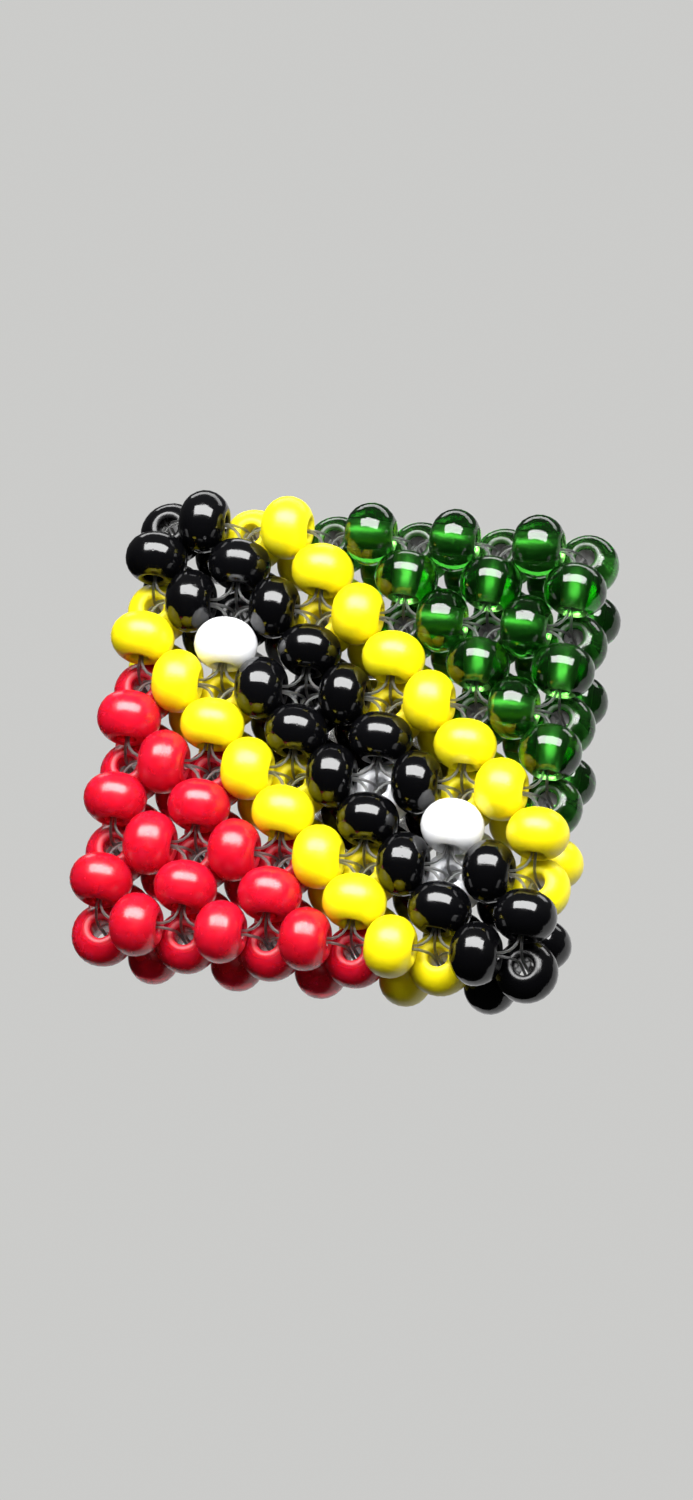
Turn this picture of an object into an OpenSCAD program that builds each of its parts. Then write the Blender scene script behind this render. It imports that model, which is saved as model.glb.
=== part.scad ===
// Square stud earring, woven from round glass beads in cubic right-angle weave.
// The weave is one layer of cubes. Each bead lies on one edge of a cube, with its hole along that edge.
// Lengths are in millimetres. +Z is up, the face looks along -Y, and the ear post points along +Y.
// The origin is on the post's axis at the back face of its pad, where the front of the ear lobe rests.

/* [Beads] */
// Outer diameter of a bead
bead_d = 2.9; // [2.7:0.05:3.2]
// Length of a bead along its hole
bead_len = 2.3; // [2.0:0.05:2.4]
// Diameter of the hole through a bead
hole_d = 0.9; // [0.8:0.05:1.0]
// Free space between two beads that meet at a corner of the weave
bead_gap = 0.1; // [0.1:0.02:0.2]

/* [Weave] */
// Number of cubes along each side of the square
cells = 5; // [5:1:7]
// Diameter of the thread bundle inside a bead
thread_d = 0.4; // [0.3:0.05:0.5]

/* [Ear post] */
// Diameter of the flat pad behind the beads
pad_d = 10; // [8:0.5:12]
// Thickness of the pad
pad_t = 0.5; // [0.4:0.1:0.8]
// Glue line between the pad and the beads
glue_gap = 0.1; // [0.05:0.05:0.2]
// Diameter of the post
post_d = 0.8; // [0.7:0.05:1.0]
// Length of the post behind the pad
post_len = 10; // [9:0.5:12]

/* [Hidden] */
$fn = 48;

// A bead is a ring of round section, with its hole bored straight through.
section_r = bead_len / 2;
ring_r = bead_d / 2 - section_r;
hole_r = hole_d / 2;

// At this pitch two rings at right angles, half a pitch from a shared corner, stand bead_gap apart.
pitch = 2 * ring_r + sqrt(2) * (2 * section_r + bead_gap);
back_y = -(pad_t + glue_gap + bead_d / 2);
front_y = back_y - pitch;

// Depth of the front layer, of the walls between the layers and of the back layer, in cubes.
FRONT = 0;
WALL = 0.5;
BACK = 1;

// A bead is [column, row, turn]. Columns count from the left and rows from the top, in cubes.
ACROSS = [0, 90, 0];
UPRIGHT = [0, 0, 0];
DEEP = [90, 0, 0];
across_beads = [for (row = [0:cells], column = [0:cells - 1]) [column + 0.5, row, ACROSS]];
upright_beads = [for (row = [0:cells - 1], column = [0:cells]) [column, row + 0.5, UPRIGHT]];
deep_beads = [for (row = [0:cells], column = [0:cells]) [column, row, DEEP]];
layer_beads = concat(across_beads, upright_beads);

// White beads in the black band, as [column, row].
WHITE_BEADS = [[1, 1.5], [4, 3.5], [3, 3], [4, 4]];

// The stripes run from the top left corner to the bottom right one, and follow column minus row.
BLACK_HALF_BAND = 0.75;
YELLOW_HALF_BAND = 1.75;

post_r = post_d / 2;
pad_edge = 0.12;
collar_r = 0.75;
collar_h = 0.4;
groove_r = post_r - 0.08;
groove_w = 0.6;
groove_from_tip = 1.8;
nose_r = post_r * 0.9;
tip_r = post_r * 0.45;
tip_len = 0.5;

// Strands start just outside the middle of a knot, so that the knot covers their ends.
thread_r = thread_d / 2;
knot_r = thread_r * 1.6;
strand_start = thread_r * 1.05;

function colour_of(column, row) =
    len([for (white = WHITE_BEADS) if (white == [column, row]) 1]) > 0 ? "white"
    : abs(column - row) < BLACK_HALF_BAND ? "black"
    : abs(column - row) < YELLOW_HALF_BAND ? (column > row ? "yellow_upper" : "yellow_lower")
    : column > row ? "green"
    : "red";

function paint(colour) =
    colour == "green" ? "darkgreen"
    : colour == "red" ? "crimson"
    : colour == "black" ? [0.06, 0.06, 0.07]
    : colour == "white" ? "white"
    : "yellow";

function place(column, row, depth) =
    [(column - cells / 2) * pitch, front_y + depth * pitch, (cells / 2 - row) * pitch];

module bead() {
    rotate_extrude()
        difference() {
            translate([ring_r, 0]) circle(r = section_r);
            translate([-bead_d, -bead_len]) square([bead_d + hole_r, 2 * bead_len]);
        }
}

// Draws the beads of one colour out of a list, at one depth.
module beads(list, depth, colour) {
    color(paint(colour))
        for (spot = list)
            if (colour_of(spot[0], spot[1]) == colour)
                translate(place(spot[0], spot[1], depth)) rotate(spot[2]) bead();
}

// One length of thread along a bead's hole, between the knots at its ends.
module strand(spot, depth) {
    translate(place(spot[0], spot[1], depth)) rotate(spot[2])
        cylinder(h = pitch - 2 * strand_start, r = thread_r, center = true);
}

module thread() {
    color("whitesmoke") {
        for (depth = [FRONT, BACK]) {
            for (spot = layer_beads) strand(spot, depth);
            for (spot = deep_beads) translate(place(spot[0], spot[1], depth)) sphere(r = knot_r);
        }
        for (spot = deep_beads) strand(spot, WALL);
    }
}

// Pad, collar, post, groove and tapered nose are one turned piece.
module ear_post() {
    pad_r = pad_d / 2;
    groove_z = post_len - groove_from_tip;
    color("silver")
        rotate([-90, 0, 0])
            rotate_extrude()
                polygon([
                    [0, -pad_t],
                    [pad_r - pad_edge, -pad_t],
                    [pad_r, pad_edge - pad_t],
                    [pad_r, -pad_edge],
                    [pad_r - pad_edge, 0],
                    [collar_r, 0],
                    [post_r, collar_h],
                    [post_r, groove_z],
                    [groove_r, groove_z + groove_w / 2],
                    [post_r, groove_z + groove_w],
                    [nose_r, post_len - tip_len],
                    [tip_r, post_len],
                    [0, post_len]
                ]);
}

beads(layer_beads, FRONT, "green");  // front_green
beads(layer_beads, FRONT, "red");  // front_red
beads(layer_beads, FRONT, "yellow_upper");  // front_yellow_upper
beads(layer_beads, FRONT, "yellow_lower");  // front_yellow_lower
beads(layer_beads, FRONT, "black");  // front_black
beads(layer_beads, FRONT, "white");  // front_white
beads(deep_beads, WALL, "green");  // wall_green
beads(deep_beads, WALL, "red");  // wall_red
beads(deep_beads, WALL, "yellow_upper");  // wall_yellow_upper
beads(deep_beads, WALL, "yellow_lower");  // wall_yellow_lower
beads(deep_beads, WALL, "black");  // wall_black
beads(deep_beads, WALL, "white");  // wall_white
beads(layer_beads, BACK, "green");  // back_green
beads(layer_beads, BACK, "red");  // back_red
beads(layer_beads, BACK, "yellow_upper");  // back_yellow_upper
beads(layer_beads, BACK, "yellow_lower");  // back_yellow_lower
beads(layer_beads, BACK, "black");  // back_black
beads(layer_beads, BACK, "white");  // back_white
thread();
ear_post();
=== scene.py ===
"""Looks of the beaded stud earring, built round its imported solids.

Metres, +Z up. The face looks along -Y and the ear post points along +Y.
"""

import math

import bmesh
import bpy
from mathutils import Matrix, Vector, noise


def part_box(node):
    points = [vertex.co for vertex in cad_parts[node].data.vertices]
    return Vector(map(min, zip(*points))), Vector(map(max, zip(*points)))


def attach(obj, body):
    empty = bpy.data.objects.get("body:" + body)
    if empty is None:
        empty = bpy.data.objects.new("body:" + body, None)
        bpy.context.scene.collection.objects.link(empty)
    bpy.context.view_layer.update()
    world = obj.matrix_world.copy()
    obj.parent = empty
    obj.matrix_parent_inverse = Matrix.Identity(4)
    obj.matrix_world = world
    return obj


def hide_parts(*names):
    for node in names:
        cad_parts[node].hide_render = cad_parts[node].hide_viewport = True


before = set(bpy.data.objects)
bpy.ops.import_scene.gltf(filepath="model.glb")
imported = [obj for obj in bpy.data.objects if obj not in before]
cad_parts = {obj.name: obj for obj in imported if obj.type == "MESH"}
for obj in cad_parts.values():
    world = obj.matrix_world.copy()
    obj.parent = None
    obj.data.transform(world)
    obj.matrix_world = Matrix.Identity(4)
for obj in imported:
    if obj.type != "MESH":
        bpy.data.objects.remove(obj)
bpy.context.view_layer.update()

MM = 0.001

# The weave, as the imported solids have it: one layer of cubes with a bead on each edge.
CELLS = 5
LAYERS = {"front": 0, "wall": 0.5, "back": 1}
COLOURS = ("green", "red", "yellow_upper", "yellow_lower", "black", "white")
WHITE_BEADS = ((1, 1.5), (4, 3.5), (3, 3), (4, 4))
BLACK_HALF_BAND = 0.75
YELLOW_HALF_BAND = 1.75
BORE_R = 0.9 * MM / 2

# How a bead is turned from having its bore along Z, or a loop of thread from lying flat.
UPRIGHT = (0, 0, 0)
ACROSS = (0, math.pi / 2, 0)
DEEP = (math.pi / 2, 0, 0)


def box_size(node):
    low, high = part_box(node)
    return high - low


def box_middle(node):
    low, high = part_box(node)
    return (low + high) / 2


# The black stripe runs from corner to corner, so its nodes give the size of the whole weave.
BEAD_D = box_size("front_black").y
BEAD_LEN = box_size("wall_black").y
PITCH = (box_size("front_black").x - BEAD_D) / CELLS
FRONT_Y = box_middle("front_black").y
BACK_Y = box_middle("back_black").y


def place(column, row, depth):
    """A point of the weave. Columns count from the left and rows from the top, in cubes."""
    return Vector((
        (column - CELLS / 2) * PITCH,
        FRONT_Y + depth * (BACK_Y - FRONT_Y),
        (CELLS / 2 - row) * PITCH,
    ))


def new_object(name, data):
    made = bpy.data.objects.new(name, data)
    bpy.context.scene.collection.objects.link(made)
    return made


# Node trees

GEOMETRY = "NodeSocketGeometry"
MATERIAL = "NodeSocketMaterial"
FLOAT = "NodeSocketFloat"
INT = "NodeSocketInt"
VECTOR = "NodeSocketVector"

# The two directions across an axis.
ROUND_Z = (1, 1, 0)
ROUND_Y = (1, 0, 1)


def first_output(node):
    return next(socket for socket in node.outputs if socket.enabled)


def feed(tree, node, sockets):
    """Gives each socket, by its name or number, a value, another node or one of its outputs."""
    for key, value in sockets.items():
        if isinstance(key, int):
            socket = node.inputs[key]
        else:
            socket = next(s for s in node.inputs if s.enabled and s.name == key)
        if isinstance(value, bpy.types.Node):
            value = first_output(value)
        if isinstance(value, bpy.types.NodeSocket):
            tree.links.new(value, socket)
        else:
            socket.default_value = value


def add_node(tree, kind, sockets=None, **settings):
    node = tree.nodes.new(kind)
    for name, value in settings.items():
        setattr(node, name, value)
    feed(tree, node, sockets or {})
    return node


def new_tree(name, kind, inputs, outputs):
    """A node group with named sockets, given as name to type. It comes with its inputs."""
    tree = bpy.data.node_groups.new(name, kind)
    for direction, sockets in (("INPUT", inputs), ("OUTPUT", outputs)):
        for socket_name, socket_type in sockets.items():
            tree.interface.new_socket(socket_name, in_out=direction, socket_type=socket_type)
    return tree, tree.nodes.new("NodeGroupInput").outputs


def maths(tree, operation, *values):
    return first_output(add_node(tree, "ShaderNodeMath", dict(enumerate(values)), operation=operation))


def vector_maths(tree, operation, sockets):
    return add_node(tree, "ShaderNodeVectorMath", sockets, operation=operation).outputs["Vector"]


def from_axis(tree, spot, across):
    """How far a place is from an axis through the origin, measured in the directions across it."""
    flat = vector_maths(tree, "MULTIPLY", {0: spot, 1: across})
    return add_node(tree, "ShaderNodeVectorMath", {0: flat}, operation="LENGTH").outputs["Value"]


def between(tree, factor, low, high, start=0.0, end=1.0):
    """Goes from low to high while the factor goes from start to end."""
    return first_output(add_node(tree, "ShaderNodeMapRange", {
        "Value": factor, "From Min": start, "From Max": end, "To Min": low, "To Max": high}))


# Materials

# Marks that the beads carry for their glass: each point's place on its own bead, and the bead's tone.
BEAD_PLACE = "bead_place"
BEAD_TONE = "bead_tone"

GLASS_IOR = 1.52
NYLON_IOR = 1.53
GLUE_IOR = 1.47

# Seed bead glass. Scales are patterns to the metre, and heights are parts of the whole relief.
LINES_ACROSS = 5000
LINES_ALONG = 350
LINE_HEIGHT = 0.35
CLOUD_SCALE = 1100
CLOUD_HEIGHT = 0.8
PIT_SCALE = 3600
PIT_HEIGHT = 0.12

# A pit is deepest within the first of these distances from its middle, and ends at the second.
PIT_FLOOR = 0.08
PIT_EDGE = 0.2

# How far from light to dark a bead's own tone takes its glass, and how far the clouds in it do.
TONE_SPREAD = 0.6
CLOUD_TONE = 0.6

# Wear starts where the clouds pass the first of these values, and is full at the second.
WORN_FROM = 0.45
WORN_TO = 0.75

# Frost on a bead's end is full up to the first of these distances from the bore, and gone at the second.
# The wall of the bore has none, and the margin keeps it out of the wall's rounded edge.
FROST_FULL = 0.15 * MM
FROST_GONE = 0.45 * MM
BORE_MARGIN = 0.02 * MM

# Turned rings on the steel, in rings to the metre.
TURNED_RINGS = 9000
TURNED_HEIGHT = 0.004 * MM


def new_material(name):
    material = bpy.data.materials.new(name)
    material.use_nodes = True
    tree = material.node_tree
    tree.nodes.clear()
    shader = tree.nodes.new("ShaderNodeBsdfPrincipled")
    add_node(tree, "ShaderNodeOutputMaterial", {"Surface": shader})
    return material, tree, shader


def object_place(tree):
    return add_node(tree, "ShaderNodeTexCoord").outputs["Object"]


def object_noise(tree, scale, detail=2.0, roughness=0.5):
    """Soft noise that keeps its place on the piece. The scale is in patterns to the metre."""
    return add_node(tree, "ShaderNodeTexNoise", {
        "Vector": object_place(tree), "Scale": scale, "Detail": detail, "Roughness": roughness})


def blend(tree, factor, one, other):
    """A colour from one to the other. Each is (red, green, blue), or an output that gives it."""
    ends = [end if isinstance(end, bpy.types.NodeSocket) else (*end, 1) for end in (one, other)]
    return first_output(add_node(tree, "ShaderNodeMix", {
        "Factor": factor, "A": ends[0], "B": ends[1]}, data_type="RGBA"))


def build_drawn_glass_group():
    """Seed bead glass: lines drawn along the bore, shallow pits, frosted ends, each bead's own tone."""
    tree, given = new_tree("drawn glass", "ShaderNodeTree", {
        "Bead place": VECTOR,
        "Tone": FLOAT,
        "Tone spread": FLOAT,
        "Polish": FLOAT,
        "Wear": FLOAT,
        "End frost": FLOAT,
    }, {
        "Shade": FLOAT,
        "End": FLOAT,
        "Roughness": FLOAT,
        "Height": FLOAT,
    })
    drawn_out = add_node(tree, "ShaderNodeMapping", {
        "Vector": given["Bead place"], "Scale": (LINES_ACROSS, LINES_ACROSS, LINES_ALONG)})
    lines = add_node(tree, "ShaderNodeTexNoise", {"Vector": drawn_out, "Scale": 1.0, "Detail": 2.0})
    clouds = object_noise(tree, CLOUD_SCALE, detail=3.0, roughness=0.6)
    pits = add_node(tree, "ShaderNodeTexVoronoi", {"Vector": object_place(tree), "Scale": PIT_SCALE})
    pit_wall = between(tree, pits.outputs["Distance"], 0.0, 1.0, start=PIT_FLOOR, end=PIT_EDGE)

    off_axis = from_axis(tree, given["Bead place"], ROUND_Z)
    near_bore = between(tree, off_axis, 1.0, 0.0, start=BORE_R + FROST_FULL, end=BORE_R + FROST_GONE)
    outside_bore = maths(tree, "GREATER_THAN", off_axis, BORE_R + BORE_MARGIN)
    end = maths(tree, "MULTIPLY", near_bore, outside_bore)

    own_tone = maths(tree, "MULTIPLY", given["Tone"], given["Tone spread"])
    shade = maths(tree, "ADD", own_tone, maths(tree, "MULTIPLY", clouds, CLOUD_TONE))
    worn = between(tree, clouds, 0.0, given["Wear"], start=WORN_FROM, end=WORN_TO)
    outer_roughness = maths(tree, "ADD", given["Polish"], worn)
    roughness = maths(tree, "ADD", outer_roughness, maths(tree, "MULTIPLY", end, given["End frost"]))
    fine_lines = maths(tree, "MULTIPLY", lines, LINE_HEIGHT)
    relief = maths(tree, "ADD", fine_lines, maths(tree, "MULTIPLY", clouds, CLOUD_HEIGHT))
    height = maths(tree, "ADD", relief, maths(tree, "MULTIPLY", pit_wall, PIT_HEIGHT))
    add_node(tree, "NodeGroupOutput", {
        "Shade": shade, "End": end, "Roughness": roughness, "Height": height})
    return tree


def bead_glass(name, light, dark, polish, wear, relief, end_frost=0.3, painted_end_glow=None, body=None):
    """Bead glass between two colours.

    Polish is its least roughness. Wear and end frost are what worn patches and the ends add to that.
    Relief is the height of its lines, waves and pits. The body's values are the shader's own.
    """
    material, tree, shader = new_material(name)
    place_mark = add_node(tree, "ShaderNodeAttribute", attribute_name=BEAD_PLACE)
    tone_mark = add_node(tree, "ShaderNodeAttribute", attribute_name=BEAD_TONE)
    surface = add_node(tree, "ShaderNodeGroup", {
        "Bead place": place_mark.outputs["Vector"],
        "Tone": tone_mark.outputs["Fac"],
        "Tone spread": TONE_SPREAD,
        "Polish": polish,
        "Wear": wear,
        "End frost": end_frost,
    }, node_tree=drawn_glass)
    colour = blend(tree, surface.outputs["Shade"], light, dark)
    # Painted light: the ends can take a paler colour that stands in for the light gathering in them.
    if painted_end_glow:
        colour = blend(tree, surface.outputs["End"], colour, painted_end_glow)
    bump = add_node(tree, "ShaderNodeBump", {
        "Strength": 1.0, "Distance": relief, "Height": surface.outputs["Height"]})
    feed(tree, shader, {
        "Base Color": colour,
        "Roughness": surface.outputs["Roughness"],
        "Normal": bump,
        "IOR": GLASS_IOR,
        **(body or {}),
    })
    return material


def build_green_glass():
    """Transparent, with a paler green painted on its ends for the light that gathers there."""
    return bead_glass(
        "green_bead_glass", light=(0.05, 0.3, 0.034), dark=(0.02, 0.2, 0.014),
        polish=0.02, wear=0.04, relief=0.015 * MM, end_frost=0.4, painted_end_glow=(0.28, 0.85, 0.16),
        body={"Transmission Weight": 0.98})


def build_red_glass():
    """Translucent, with light spread inside it."""
    return bead_glass(
        "red_bead_glass", light=(0.78, 0.007, 0.036), dark=(0.58, 0.005, 0.022),
        polish=0.23, wear=0.1, relief=0.02 * MM,
        body={
            "Transmission Weight": 0.4,
            "Subsurface Weight": 0.6,
            "Subsurface Radius": (1.0, 0.08, 0.08),
            "Subsurface Scale": 1.0 * MM,
        })


def build_yellow_glass():
    """Opaque, with the softest sheen of the five."""
    return bead_glass(
        "yellow_bead_glass", light=(0.8, 0.74, 0.003), dark=(0.74, 0.6, 0.002),
        polish=0.34, wear=0.12, relief=0.02 * MM,
        body={
            "Subsurface Weight": 0.15,
            "Subsurface Radius": (1.0, 0.8, 0.1),
            "Subsurface Scale": 0.2 * MM,
        })


def build_black_glass():
    """Opaque and well polished."""
    return bead_glass(
        "black_bead_glass", light=(0.002, 0.002, 0.0025), dark=(0.001, 0.001, 0.0012),
        polish=0.1, wear=0.08, relief=0.015 * MM)


def build_white_glass():
    """Opaque, its darker beads a little cooler."""
    return bead_glass(
        "white_bead_glass", light=(0.9, 0.9, 0.9), dark=(0.78, 0.79, 0.82),
        polish=0.1, wear=0.08, relief=0.02 * MM,
        body={
            "Subsurface Weight": 0.3,
            "Subsurface Radius": (1.0, 1.0, 1.0),
            "Subsurface Scale": 0.3 * MM,
        })


def build_lining():
    """The dull silvery lining of a bead's bore, worn in patches."""
    bright = (0.5, 0.5, 0.48)
    dull = (0.38, 0.38, 0.37)
    material, tree, shader = new_material("bore_lining")
    patches = object_noise(tree, scale=2200)
    feed(tree, shader, {
        "Base Color": blend(tree, patches, bright, dull),
        "Roughness": between(tree, patches, low=0.35, high=0.55),
        "Metallic": 1.0,
    })
    return material


def build_nylon():
    """Clear monofilament, dull and tinted grey, which darkens the corners where its loops cross."""
    clear = (0.38, 0.38, 0.37)
    greyed = (0.22, 0.22, 0.215)
    material, tree, shader = new_material("clear_nylon")
    haze = object_noise(tree, scale=2500)
    feed(tree, shader, {
        "Base Color": blend(tree, haze, clear, greyed),
        "Roughness": between(tree, haze, low=0.35, high=0.6),
        "IOR": NYLON_IOR,
        "Transmission Weight": 1.0,
    })
    return material


def build_glue():
    """Clear set glue, a little cloudy."""
    faintly_yellow = (0.9, 0.9, 0.86)
    material, tree, shader = new_material("clear_glue")
    feed(tree, shader, {
        "Base Color": (*faintly_yellow, 1),
        "Roughness": between(tree, object_noise(tree, scale=1500), low=0.05, high=0.3),
        "IOR": GLUE_IOR,
        "Transmission Weight": 1.0,
    })
    return material


def build_steel():
    """Polished steel with fine turned rings round the post's axis and a few rubbed patches."""
    bright = (0.74, 0.73, 0.71)
    rubbed = (0.58, 0.57, 0.56)
    material, tree, shader = new_material("polished_steel")
    radius = from_axis(tree, object_place(tree), ROUND_Y)
    rings = add_node(tree, "ShaderNodeTexNoise", {
        "W": radius, "Scale": TURNED_RINGS, "Detail": 2.0}, noise_dimensions="1D")
    patches = object_noise(tree, scale=700, detail=4.0)
    feed(tree, shader, {
        "Base Color": blend(tree, patches, bright, rubbed),
        "Roughness": between(tree, patches, low=0.14, high=0.34),
        "Normal": add_node(tree, "ShaderNodeBump", {"Distance": TURNED_HEIGHT, "Height": rings}),
        "Metallic": 1.0,
    })
    return material


drawn_glass = build_drawn_glass_group()
yellow_glass = build_yellow_glass()
GLASS = {
    "green": build_green_glass(),
    "red": build_red_glass(),
    "yellow_upper": yellow_glass,
    "yellow_lower": yellow_glass,
    "black": build_black_glass(),
    "white": build_white_glass(),
}
# A colour that isn't here has bores of its own glass.
LININGS = {"green": build_lining()}

# What repeats: beads and loops of thread, each set on its seats by Geometry Nodes

# The mark on a seat for the turn that its piece takes.
TURN = "turn"

# Random draws, as steps from a piece's own seed. A draw that isn't here takes the seed itself.
GIRTH_DRAW = 1
LENGTH_DRAW = 2
THREAD_LEAN_DRAW = 1


def seats(name, places):
    """Points for a tree to set its pieces on. Each place is (point, turn)."""
    mesh = bpy.data.meshes.new(name)
    mesh.from_pydata([point for point, turn in places], [], [])
    turns = mesh.attributes.new(TURN, "FLOAT_VECTOR", "POINT")
    for item, (point, turn) in zip(turns.data, places):
        item.vector = turn
    return new_object(name, mesh)


def grow(name, places, tree, values):
    """Runs a tree on its seats, with a value for each input, and keeps the result as a plain mesh."""
    holder = seats(name + "_seats", places)
    modifier = holder.modifiers.new(name, "NODES")
    modifier.node_group = tree
    inputs = [item for item in tree.interface.items_tree if item.in_out == "INPUT"]
    identifiers = {item.name: item.identifier for item in inputs}
    for socket_name, value in values.items():
        modifier[identifiers[socket_name]] = value
    depsgraph = bpy.context.evaluated_depsgraph_get()
    mesh = bpy.data.meshes.new_from_object(holder.evaluated_get(depsgraph), depsgraph=depsgraph)
    bpy.data.objects.remove(holder)
    mesh.name = name
    return new_object(name, mesh)


def mark(tree, geometry, name, value, data_type, domain):
    return add_node(tree, "GeometryNodeStoreNamedAttribute", {
        "Geometry": geometry, "Name": name, "Value": value}, data_type=data_type, domain=domain)


def marked_vector(tree, name):
    return add_node(tree, "GeometryNodeInputNamedAttribute", {"Name": name}, data_type="FLOAT_VECTOR")


def give_material(tree, geometry, material, **selection):
    return add_node(tree, "GeometryNodeSetMaterial", {
        "Geometry": geometry, "Material": material, **selection})


def random_between(tree, low, high, seed, data_type="FLOAT"):
    """A random value for each seat."""
    return first_output(add_node(tree, "FunctionNodeRandomValue", {
        "Min": low, "Max": high, "Seed": seed}, data_type=data_type))


def random_vector(tree, seed):
    """A random vector for each seat, of up to one along each axis, either way."""
    return random_between(tree, (-1, -1, -1), (1, 1, 1), seed, "FLOAT_VECTOR")


def leaning_turn(tree, tilt, seed):
    """The seat's own turn, and up to the tilt more about each of the piece's axes."""
    seat_turn = add_node(tree, "FunctionNodeEulerToRotation", {"Euler": marked_vector(tree, TURN)})
    lean = vector_maths(tree, "SCALE", {0: random_vector(tree, seed), "Scale": tilt})
    lean_turn = add_node(tree, "FunctionNodeEulerToRotation", {"Euler": lean})
    return add_node(tree, "FunctionNodeRotateRotation", {
        "Rotation": seat_turn, "Rotate By": lean_turn}, rotation_space="LOCAL")


# Beads

# Their form. The scene's beads are a little fuller than the solids, so that neighbours all but touch.
FULLER = 0.035 * MM
SECTION_R = BEAD_LEN / 2 + FULLER
RING_R = (BEAD_D - BEAD_LEN) / 2
# How far round from the girth the bore cuts the section off.
SHOULDER = math.acos((BORE_R - RING_R) / SECTION_R)
RIM_R = 0.2 * MM
SECTION_POINTS = 12
RIM_POINTS = 4
RING_POINTS = 28

# How they differ: girth and length in parts of one, tilt in radians, and soft lumps on the surface.
GIRTH_SPREAD = 0.015
LENGTH_SPREAD = 0.03
BEAD_TILT = 0.05
LUMPS = 0.05 * MM
LUMP_SCALE = 900
MIDDLE_OF_NOISE = (0.5, 0.5, 0.5)

# The step from one piece's seed to the next one's, which leaves room for each piece's draws.
SEED_STEP = 10


def one_bead(tree, given):
    """A ring of D section with rounded rims, its bore along Z, that marks each point's place on it."""
    whole_sweep = maths(tree, "MULTIPLY", given["shoulder"], 2.0)
    first_angle = maths(tree, "MULTIPLY", given["shoulder"], -1.0)
    outside = add_node(tree, "GeometryNodeCurveArc", {
        "Resolution": SECTION_POINTS, "Radius": given["section"],
        "Start Angle": first_angle, "Sweep Angle": whole_sweep})
    with_bore = add_node(tree, "GeometryNodeSetSplineCyclic", {"Geometry": outside, "Cyclic": True})
    rims = add_node(tree, "GeometryNodeCurveEndpointSelection")
    section = add_node(tree, "GeometryNodeFilletCurve", {
        "Curve": with_bore, "Count": RIM_POINTS, "Radius": maths(tree, "MULTIPLY", rims, given["rim"]),
        "Limit Radius": False}, mode="POLY")
    ring = add_node(tree, "GeometryNodeCurvePrimitiveCircle", {
        "Resolution": RING_POINTS, "Radius": given["ring"]})
    bead = add_node(tree, "GeometryNodeCurveToMesh", {"Curve": ring, "Profile Curve": section})
    smooth = add_node(tree, "GeometryNodeSetShadeSmooth", {"Geometry": bead})
    own_place = add_node(tree, "GeometryNodeInputPosition")
    return mark(tree, smooth, BEAD_PLACE, own_place, "FLOAT_VECTOR", "POINT")


def about_one(tree, spread, seed):
    """A random factor for each seat, within the spread of one."""
    low = maths(tree, "SUBTRACT", 1.0, spread)
    high = maths(tree, "ADD", 1.0, spread)
    return random_between(tree, low, high, seed)


def bead_size(tree, given):
    girth = about_one(tree, given["girth spread"], maths(tree, "ADD", given["seed"], GIRTH_DRAW))
    length = about_one(tree, given["length spread"], maths(tree, "ADD", given["seed"], LENGTH_DRAW))
    return add_node(tree, "ShaderNodeCombineXYZ", {"X": girth, "Y": girth, "Z": length})


def uneven(tree, beads, lumps):
    """Shifts the surface by soft noise, so that no bead is quite round."""
    soft = add_node(tree, "ShaderNodeTexNoise", {"Scale": LUMP_SCALE, "Detail": 1.0}).outputs["Color"]
    centred = vector_maths(tree, "SUBTRACT", {0: soft, 1: MIDDLE_OF_NOISE})
    shift = vector_maths(tree, "SCALE", {0: centred, "Scale": lumps})
    return add_node(tree, "GeometryNodeSetPosition", {"Geometry": beads, "Offset": shift})


def build_bead_tree():
    """Beads on their seats, each a little different in size, tilt and tone, with a lined bore."""
    tree, given = new_tree("strung beads", "GeometryNodeTree", {
        "Seats": GEOMETRY,
        "section": FLOAT,
        "ring": FLOAT,
        "bore": FLOAT,
        "shoulder": FLOAT,
        "rim": FLOAT,
        "girth spread": FLOAT,
        "length spread": FLOAT,
        "tilt": FLOAT,
        "lumps": FLOAT,
        "seed": INT,
        "glass": MATERIAL,
        "bore lining": MATERIAL,
    }, {"Beads": GEOMETRY})
    set_out = add_node(tree, "GeometryNodeInstanceOnPoints", {
        "Points": given["Seats"], "Instance": one_bead(tree, given),
        "Rotation": leaning_turn(tree, given["tilt"], given["seed"]), "Scale": bead_size(tree, given)})
    tone = random_between(tree, 0.0, 1.0, given["seed"])
    toned = mark(tree, set_out, BEAD_TONE, tone, "FLOAT", "INSTANCE")
    realized = add_node(tree, "GeometryNodeRealizeInstances", {"Geometry": toned})
    glazed = give_material(tree, uneven(tree, realized, given["lumps"]), given["glass"])
    off_axis = from_axis(tree, marked_vector(tree, BEAD_PLACE), ROUND_Z)
    in_bore = maths(tree, "LESS_THAN", off_axis, given["bore"])
    lined = give_material(tree, glazed, given["bore lining"], Selection=in_bore)
    add_node(tree, "NodeGroupOutput", {0: lined})
    return tree


def colour_of(column, row):
    """The diagonal stripes, which follow column minus row."""
    if (column, row) in WHITE_BEADS:
        return "white"
    across = column - row
    if abs(across) < BLACK_HALF_BAND:
        return "black"
    if abs(across) < YELLOW_HALF_BAND:
        return "yellow_upper" if across > 0 else "yellow_lower"
    return "green" if across > 0 else "red"


def bead_spots(layer):
    """Each bead of a layer, as (column, row, turn)."""
    lines = range(CELLS + 1)
    cells = range(CELLS)
    if layer == "wall":
        return [(column, row, DEEP) for row in lines for column in lines]
    across = [(column + 0.5, row, ACROSS) for row in lines for column in cells]
    upright = [(column, row + 0.5, UPRIGHT) for row in cells for column in lines]
    return across + upright


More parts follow.
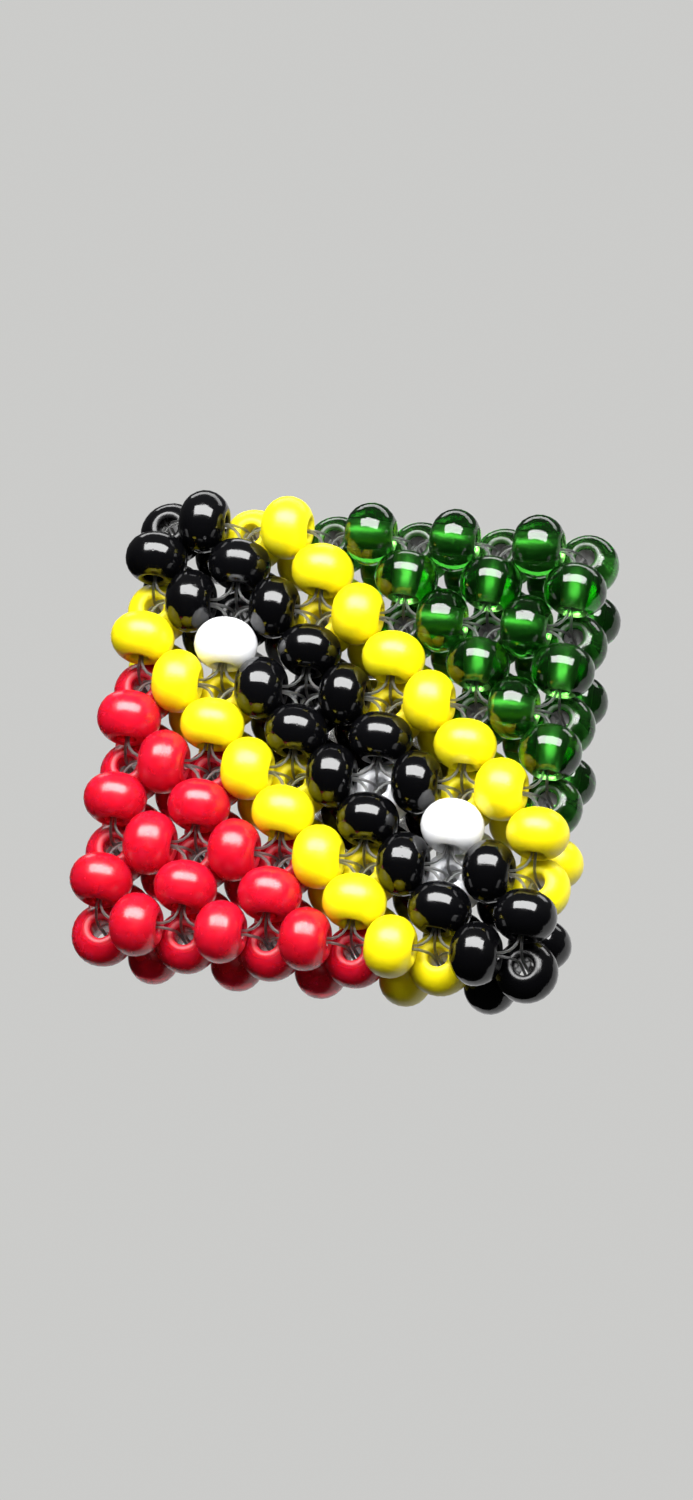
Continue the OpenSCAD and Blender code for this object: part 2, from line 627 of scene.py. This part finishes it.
def string_beads():
    """One piece for each colour of each layer."""
    bead_tree = build_bead_tree()
    seed = 0
    for layer, depth in LAYERS.items():
        for colour in COLOURS:
            seed += SEED_STEP
            spots = [
                (place(column, row, depth), turn)
                for column, row, turn in bead_spots(layer)
                if colour_of(column, row) == colour
            ]
            beads = grow(f"{layer}_{colour}_beads", spots, bead_tree, {
                "section": SECTION_R,
                "ring": RING_R,
                "bore": BORE_R,
                "shoulder": SHOULDER,
                "rim": RIM_R,
                "girth spread": GIRTH_SPREAD,
                "length spread": LENGTH_SPREAD,
                "tilt": BEAD_TILT,
                "lumps": LUMPS,
                "seed": seed,
                "glass": GLASS[colour],
                "bore lining": LININGS.get(colour, GLASS[colour]),
            })
            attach(beads, "root")
            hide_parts(f"{layer}_{colour}")


# Thread

# Each face of each cube has its own loop, a little inside the cube's edges, so that no two share a line.
INSET = 0.135 * MM
LOOP_SIDE = PITCH - 2 * INSET
LOOP_CORNER = (PITCH - BEAD_LEN) / 2
THREAD_R = 0.07 * MM
CORNER_POINTS = 5
THREAD_SIDES = 8
SLACK = 0.012 * MM
THREAD_TILT = 0.02
THREAD_SEED = 300


def build_loop_tree():
    """A closed loop of thread on each seat, through the beads on the four edges of a cube's face."""
    tree, given = new_tree("thread loops", "GeometryNodeTree", {
        "Seats": GEOMETRY,
        "side": FLOAT,
        "corner": FLOAT,
        "radius": FLOAT,
        "slack": FLOAT,
        "tilt": FLOAT,
        "seed": INT,
        "nylon": MATERIAL,
    }, {"Loops": GEOMETRY})
    square = add_node(tree, "GeometryNodeCurvePrimitiveQuadrilateral", {
        "Width": given["side"], "Height": given["side"]}, mode="RECTANGLE")
    rounded = add_node(tree, "GeometryNodeFilletCurve", {
        "Curve": square, "Count": CORNER_POINTS, "Radius": given["corner"],
        "Limit Radius": True}, mode="POLY")
    section = add_node(tree, "GeometryNodeCurvePrimitiveCircle", {
        "Resolution": THREAD_SIDES, "Radius": given["radius"]})
    loop = add_node(tree, "GeometryNodeCurveToMesh", {"Curve": rounded, "Profile Curve": section})
    smooth = add_node(tree, "GeometryNodeSetShadeSmooth", {"Geometry": loop})
    slack = vector_maths(tree, "SCALE", {
        0: random_vector(tree, given["seed"]), "Scale": given["slack"]})
    drawn = add_node(tree, "GeometryNodeSetPosition", {"Geometry": given["Seats"], "Offset": slack})
    lean_seed = maths(tree, "ADD", given["seed"], THREAD_LEAN_DRAW)
    set_out = add_node(tree, "GeometryNodeInstanceOnPoints", {
        "Points": drawn, "Instance": smooth, "Rotation": leaning_turn(tree, given["tilt"], lean_seed)})
    realized = add_node(tree, "GeometryNodeRealizeInstances", {"Geometry": set_out})
    add_node(tree, "NodeGroupOutput", {0: give_material(tree, realized, given["nylon"])})
    return tree


def loop_spots():
    """The middle of each face of each cube, with the turn that its loop takes."""
    cells = range(CELLS)
    lines = range(CELLS + 1)
    front, wall, back = LAYERS.values()
    spots = []
    for depth in (front, back):
        spots += [(place(c + 0.5, r + 0.5, depth), DEEP) for r in cells for c in cells]
    spots += [(place(c + 0.5, r, wall), UPRIGHT) for r in lines for c in cells]
    spots += [(place(c, r + 0.5, wall), ACROSS) for r in cells for c in lines]
    return spots


def draw_thread():
    thread = grow("thread_loops", loop_spots(), build_loop_tree(), {
        "side": LOOP_SIDE,
        "corner": LOOP_CORNER,
        "radius": THREAD_R,
        "slack": SLACK,
        "tilt": THREAD_TILT,
        "seed": THREAD_SEED,
        "nylon": build_nylon(),
    })
    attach(thread, "root")
    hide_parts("thread")


# Glue

# A bead of it runs round the pad's rim, where the pad meets the back layer.
GLUE_R = 0.16 * MM
GLUE_SWELL = 0.35
GLUE_WAVES = 5
GLUE_STEPS = 120
GLUE_SIDES = 8


def glue_section(skin, around, rim_r, middle_y):
    """A ring of points round the glue, at one place on the rim. The glue swells and thins along it."""
    outwards = Vector((math.cos(around), 0, math.sin(around)))
    section_r = GLUE_R * (1 + GLUE_SWELL * noise.noise(outwards * GLUE_WAVES))
    points = []
    for side in range(GLUE_SIDES):
        angle = side / GLUE_SIDES * math.tau
        out = rim_r + section_r * math.cos(angle)
        back = middle_y + section_r * math.sin(angle)
        points.append(skin.verts.new(outwards * out + Vector((0, back, 0))))
    return points


def lay_glue():
    rim_r = box_size("ear_post").x / 2
    pad_face_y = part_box("ear_post")[0].y
    beads_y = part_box("back_black")[1].y
    middle_y = (pad_face_y + beads_y) / 2
    skin = bmesh.new()
    turns = [step / GLUE_STEPS * math.tau for step in range(GLUE_STEPS)]
    sections = [glue_section(skin, around, rim_r, middle_y) for around in turns]
    for one, other in zip(sections, sections[1:] + sections[:1]):
        for i in range(GLUE_SIDES):
            skin.faces.new((one[i - 1], one[i], other[i], other[i - 1]))
    bmesh.ops.recalc_face_normals(skin, faces=skin.faces)
    for face in skin.faces:
        face.smooth = True
    mesh = bpy.data.meshes.new("glue_line")
    skin.to_mesh(mesh)
    skin.free()
    mesh.materials.append(build_glue())
    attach(new_object("glue_line", mesh), "root")


# Ear post

def dress_ear_post():
    """The ear post keeps its solid and takes the steel."""
    ear_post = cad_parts["ear_post"]
    ear_post.data.materials.clear()
    ear_post.data.materials.append(build_steel())


# Floor, light and camera

# The floor's paint is dark and its pale tone is a glow, so that the lamps leave no pool of light on it.
FLOOR_Z = -0.45
FLOOR_REACH = 2
FLOOR_PAINT = (0.03, 0.03, 0.0294, 1)
FLOOR_GLOW = (1, 1, 0.98, 1)
FLOOR_GLOW_STRENGTH = 0.58
FLOOR_ROUGHNESS = 0.8

BACKDROP = (0.6, 0.6, 0.588, 1)
ROOM_LIGHT = (1, 1, 1, 1)
# The room goes from dim to bright between these heights of the way that a ray takes.
ROOM_LOW = -0.2
ROOM_HIGH = 0.8
ROOM_DIM = 0.008
ROOM_BRIGHT = 0.08

# Where the camera stands from the middle of the beads, in radians and metres, and its lens in millimetres.
AZIMUTH = math.radians(13.8)
ELEVATION = math.radians(-19)
ROLL = math.radians(9.2)
DISTANCE = 0.37
LENS = 192


def lay_floor():
    """A pale floor well below, which only the camera sees, so that it lights and colours nothing."""
    reach, z = FLOOR_REACH, FLOOR_Z
    corners = [(-reach, -reach, z), (reach, -reach, z), (reach, reach, z), (-reach, reach, z)]
    mesh = bpy.data.meshes.new("floor")
    mesh.from_pydata(corners, [], [(0, 1, 2, 3)])
    material, tree, shader = new_material("pale_floor")
    feed(tree, shader, {
        "Base Color": FLOOR_PAINT,
        "Emission Color": FLOOR_GLOW,
        "Emission Strength": FLOOR_GLOW_STRENGTH,
        "Roughness": FLOOR_ROUGHNESS,
    })
    mesh.materials.append(material)
    floor = new_object("floor", mesh)
    floor.visible_glossy = False
    floor.visible_diffuse = False
    floor.visible_transmission = False


def soft_light(name, spot, width, height, watts, glossy=True, transmitted=True):
    """A soft box that faces the earring. Glossy or clear surfaces can be kept from showing it."""
    lamp = bpy.data.lights.new(name, "AREA")
    lamp.shape = "RECTANGLE"
    lamp.size = width
    lamp.size_y = height
    lamp.energy = watts
    holder = new_object(name, lamp)
    holder.location = spot
    holder.rotation_euler = (-Vector(spot)).to_track_quat("-Z", "Y").to_euler()
    holder.visible_glossy = glossy
    holder.visible_transmission = transmitted


def hang_lights():
    soft_light("window", spot=(0.05, -0.5, 0.22), width=0.9, height=0.36, watts=15.8)
    soft_light("behind_above", spot=(0.0, 0.15, 0.5), width=0.8, height=0.15, watts=1.2)
    soft_light(
        "behind_card", spot=(0.2, 0.6, -0.05), width=1.6, height=1.2, watts=4.6, transmitted=False)
    soft_light("front_fill", spot=(0.2, -0.7, -0.2), width=0.4, height=0.4, watts=0.8, glossy=False)


def set_backdrop():
    """Pale to the camera, and to every other ray a dim room that is lighter overhead."""
    world = bpy.data.worlds.new("backdrop")
    world.use_nodes = True
    sky = world.node_tree
    sky.nodes.clear()
    direction = add_node(sky, "ShaderNodeTexCoord").outputs["Generated"]
    height = add_node(sky, "ShaderNodeSeparateXYZ", {0: direction}).outputs["Z"]
    strength = between(sky, height, ROOM_DIM, ROOM_BRIGHT, start=ROOM_LOW, end=ROOM_HIGH)
    room = add_node(sky, "ShaderNodeBackground", {"Color": ROOM_LIGHT, "Strength": strength})
    shown = add_node(sky, "ShaderNodeBackground", {"Color": BACKDROP, "Strength": 1.0})
    to_camera = add_node(sky, "ShaderNodeLightPath").outputs["Is Camera Ray"]
    mixed = add_node(sky, "ShaderNodeMixShader", {0: to_camera, 1: room, 2: shown})
    add_node(sky, "ShaderNodeOutputWorld", {"Surface": mixed})
    bpy.context.scene.world = world
    bpy.context.scene.view_settings.view_transform = "Standard"


def aim_camera():
    """Looks at the middle of the beads from the photo's side, rolled as the earring hangs there."""
    towards = Vector((
        math.sin(AZIMUTH) * math.cos(ELEVATION),
        -math.cos(AZIMUTH) * math.cos(ELEVATION),
        math.sin(ELEVATION),
    ))
    level = towards.to_track_quat("Z", "Y").to_matrix()
    turned = level @ Matrix.Rotation(ROLL, 3, "Z")
    bead_middle = place(CELLS / 2, CELLS / 2, LAYERS["wall"])
    optics = bpy.data.cameras.new("camera")
    optics.lens = LENS
    camera = new_object("camera", optics)
    camera.matrix_world = Matrix.Translation(bead_middle + towards * DISTANCE) @ turned.to_4x4()
    bpy.context.scene.camera = camera


string_beads()
draw_thread()
lay_glue()
dress_ear_post()
lay_floor()
hang_lights()
set_backdrop()
aim_camera()
